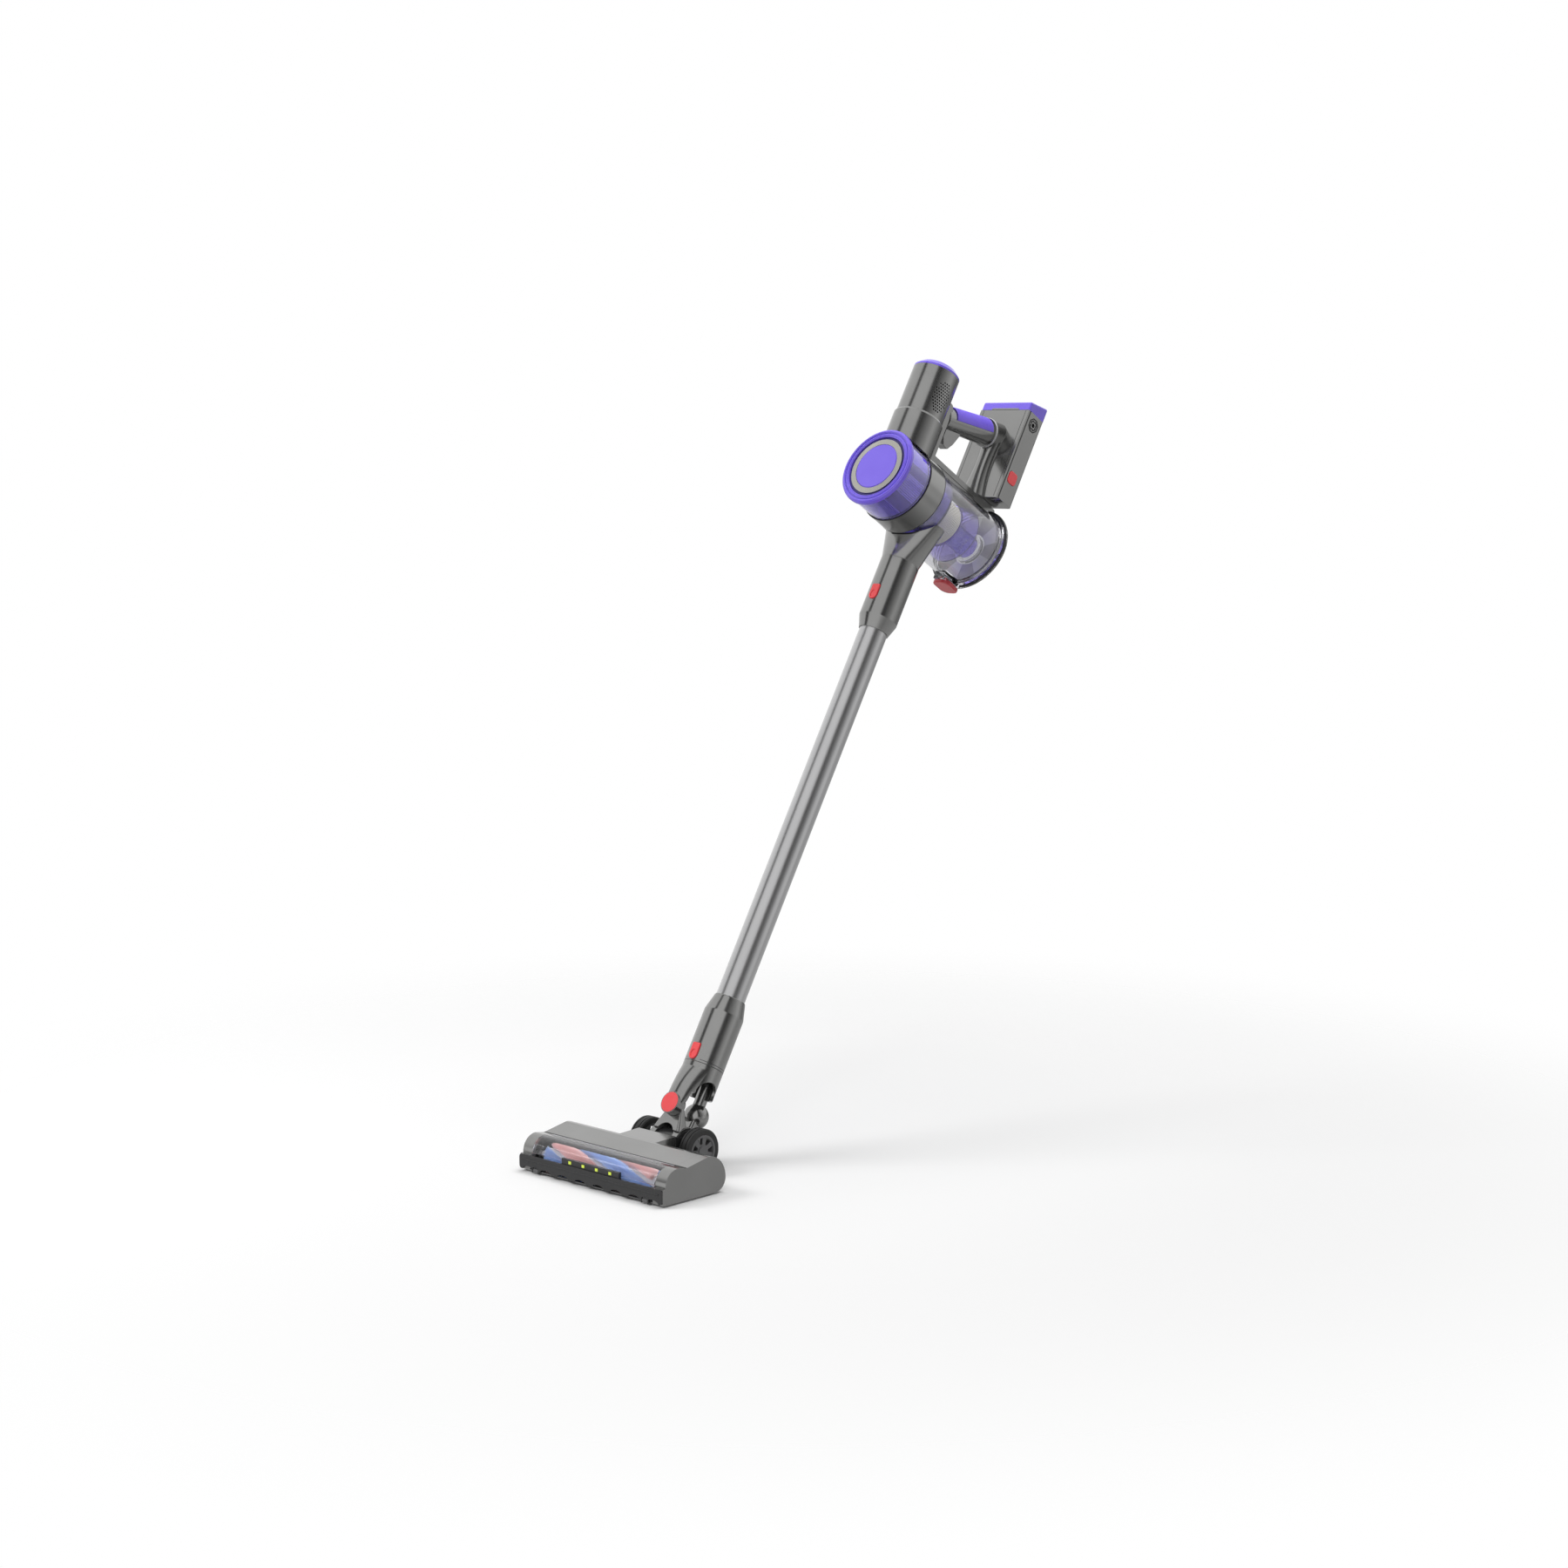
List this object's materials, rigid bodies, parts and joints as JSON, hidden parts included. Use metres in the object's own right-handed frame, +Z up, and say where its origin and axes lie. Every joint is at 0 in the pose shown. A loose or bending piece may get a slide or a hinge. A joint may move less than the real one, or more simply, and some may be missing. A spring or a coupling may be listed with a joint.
{
  "type": "cordless stick vacuum cleaner",
  "caption": "Cordless stick vacuum cleaner: cyclone handheld with clear bin, straight wand, swivel neck and a powered floor head with a windowed brush roll.",
  "frame": {"origin": "middle of the overall box, on the floor", "axes": "+Z up, the front of the floor head faces -Y, width along X, the wand leans back towards +Y"},
  "size_m": [0.234, 0.7583, 0.9265],
  "materials": {
    "grey_plastic": "satin moulded grey",
    "purple_plastic": "glossy moulded purple",
    "purple_clear": "clear purple",
    "clear_plastic": "clear polycarbonate",
    "dark_plastic": "dark grey moulded",
    "red_plastic": "glossy moulded red",
    "tube_metal": "satin anodised",
    "steel": "drawn steel",
    "soft_black": "soft black rubber",
    "tread": "soft black tread",
    "filter_media": "pleated paper",
    "blue_fibre": "nylon bristle",
    "red_fibre": "nylon bristle",
    "light": "small lens",
    "cell_wrap": "shrink-wrapped cells"
  },
  "bodies": {
    "handheld": {"motor_housing": "grey_plastic", "motor_cap": "purple_plastic", "suction_motor": "steel", "exhaust_filter": "filter_media", "bin_collar": "grey_plastic", "handle_frame": "grey_plastic", "grip_pad": "purple_plastic", "battery_dock": "grey_plastic", "trigger_switch": "dark_plastic", "inlet_connector": "grey_plastic", "dust_bin": "clear_plastic", "cyclone_core": "purple_clear", "shroud_mesh": "steel"},
    "fan": {"impeller": "dark_plastic"},
    "filter_cartridge": {"filter_cap": "purple_plastic", "filter_ring": "purple_clear", "badge_ring": "tube_metal", "hepa_filter": "filter_media"},
    "lid": {"bin_lid": "clear_plastic", "lid_seal": "soft_black"},
    "catch": {"lid_catch": "red_plastic"},
    "trigger_lever": {"trigger": "grey_plastic"},
    "battery": {"battery_case": "grey_plastic", "battery_cap": "purple_plastic", "battery_cells": "cell_wrap", "charge_jack": "dark_plastic"},
    "left_battery_button": {"battery_button_left": "red_plastic"},
    "right_battery_button": {"battery_button_right": "red_plastic"},
    "wand_release": {"wand_button": "red_plastic"},
    "wand": {"wand_tube": "tube_metal", "wand_conduit": "soft_black"},
    "coupling": {"coupling_sleeve": "grey_plastic", "coupling_yoke": "grey_plastic", "hinge_cap": "red_plastic"},
    "head_release": {"head_button": "red_plastic"},
    "neck": {"swivel_neck": "grey_plastic", "neck_barrel": "dark_plastic"},
    "floor_head": {"upper_shell": "grey_plastic", "end_cap_left": "grey_plastic", "end_cap_right": "grey_plastic", "window": "clear_plastic", "sole_plate": "dark_plastic", "front_lip": "dark_plastic", "led_bar": "dark_plastic", "leds": "light", "rear_cradle": "dark_plastic", "wheel_axles": "steel", "brush_motor": "steel", "drive_belt": "soft_black", "sole_screws": "steel"},
    "left_wheel": {"rim_left": "dark_plastic", "tyre_left": "tread"},
    "right_wheel": {"rim_right": "dark_plastic", "tyre_right": "tread"},
    "left_roller": {"roller_left": "soft_black"},
    "right_roller": {"roller_right": "soft_black"},
    "brush_roll": {"brush_core": "dark_plastic", "blue_bristles": "blue_fibre", "red_bristles": "red_fibre"},
    "drive_pulley": {"motor_pulley": "dark_plastic"}
  },
  "joints": [
    {"name": "fan_spin", "type": "hinge", "parent": "handheld", "child": "fan", "pos_m": [0, 0.18594, 0.87282], "axis": [0, 0.512, 0.859], "continuous": true},
    {"name": "cartridge_pull", "type": "slide", "parent": "handheld", "child": "filter_cartridge", "axis": [0, -0.859, 0.512], "range_m": [0, 0.04]},
    {"name": "lid_hinge", "type": "hinge", "parent": "handheld", "child": "lid", "pos_m": [0, 0.30283, 0.73631], "axis": [1, 0, 0], "range_deg": [0, 90]},
    {"name": "catch_slide", "type": "slide", "parent": "handheld", "child": "catch", "axis": [0, -0.859, 0.512], "range_m": [0, 0.003], "stiffness_N_per_m": 250},
    {"name": "trigger_pull", "type": "hinge", "parent": "handheld", "child": "trigger_lever", "pos_m": [0, 0.22659, 0.84335], "axis": [1, 0, 0], "range_deg": [0, 8], "stiffness_Nm_per_rad": 0.6},
    {"name": "battery_lift", "type": "slide", "parent": "handheld", "child": "battery", "axis": [0, 0.512, 0.859], "range_m": [0, 0.06]},
    {"name": "left_battery_button_press", "type": "slide", "parent": "battery", "child": "left_battery_button", "axis": [1, 0, 0], "range_m": [0, 0.0016], "stiffness_N_per_m": 400},
    {"name": "right_battery_button_press", "type": "slide", "parent": "battery", "child": "right_battery_button", "axis": [-1, 0, 0], "range_m": [0, 0.0016], "stiffness_N_per_m": 400},
    {"name": "wand_release_press", "type": "slide", "parent": "handheld", "child": "wand_release", "axis": [0, 0.859, -0.512], "range_m": [0, 0.0018], "stiffness_N_per_m": 400},
    {"name": "wand_pull", "type": "slide", "parent": "handheld", "child": "wand", "axis": [0, -0.512, -0.859], "range_m": [0, 0.045]},
    {"name": "head_pull", "type": "slide", "parent": "wand", "child": "coupling", "axis": [0, -0.512, -0.859], "range_m": [0, 0.045]},
    {"name": "head_release_press", "type": "slide", "parent": "coupling", "child": "head_release", "axis": [0, 0.859, -0.512], "range_m": [0, 0.0018], "stiffness_N_per_m": 400},
    {"name": "neck_roll", "type": "hinge", "parent": "coupling", "child": "neck", "pos_m": [0, -0.24403, 0.07146], "axis": [0, 0.859, -0.512], "range_deg": [-45, 45]},
    {"name": "head_tilt", "type": "hinge", "parent": "neck", "child": "floor_head", "pos_m": [0, -0.24784, 0.026], "axis": [1, 0, 0], "range_deg": [-30, 45]},
    {"name": "left_wheel_spin", "type": "hinge", "parent": "floor_head", "child": "left_wheel", "pos_m": [-0.041, -0.24784, 0.026], "axis": [1, 0, 0], "continuous": true},
    {"name": "right_wheel_spin", "type": "hinge", "parent": "floor_head", "child": "right_wheel", "pos_m": [0.041, -0.24784, 0.026], "axis": [1, 0, 0], "continuous": true},
    {"name": "left_roller_spin", "type": "hinge", "parent": "floor_head", "child": "left_roller", "pos_m": [-0.09, -0.37624, 0.0033], "axis": [1, 0, 0], "continuous": true},
    {"name": "right_roller_spin", "type": "hinge", "parent": "floor_head", "child": "right_roller", "pos_m": [0.09, -0.37624, 0.0033], "axis": [1, 0, 0], "continuous": true},
    {"name": "brush_spin", "type": "hinge", "parent": "floor_head", "child": "brush_roll", "pos_m": [0, -0.35534, 0.0168], "axis": [1, 0, 0], "continuous": true},
    {"name": "pulley_spin", "type": "hinge", "parent": "floor_head", "child": "drive_pulley", "pos_m": [0.09, -0.31584, 0.021], "axis": [1, 0, 0], "continuous": true}
  ],
  "couplings": [
    {"joint": "pulley_spin", "follows": "brush_spin", "ratio": 1.8}
  ]
}
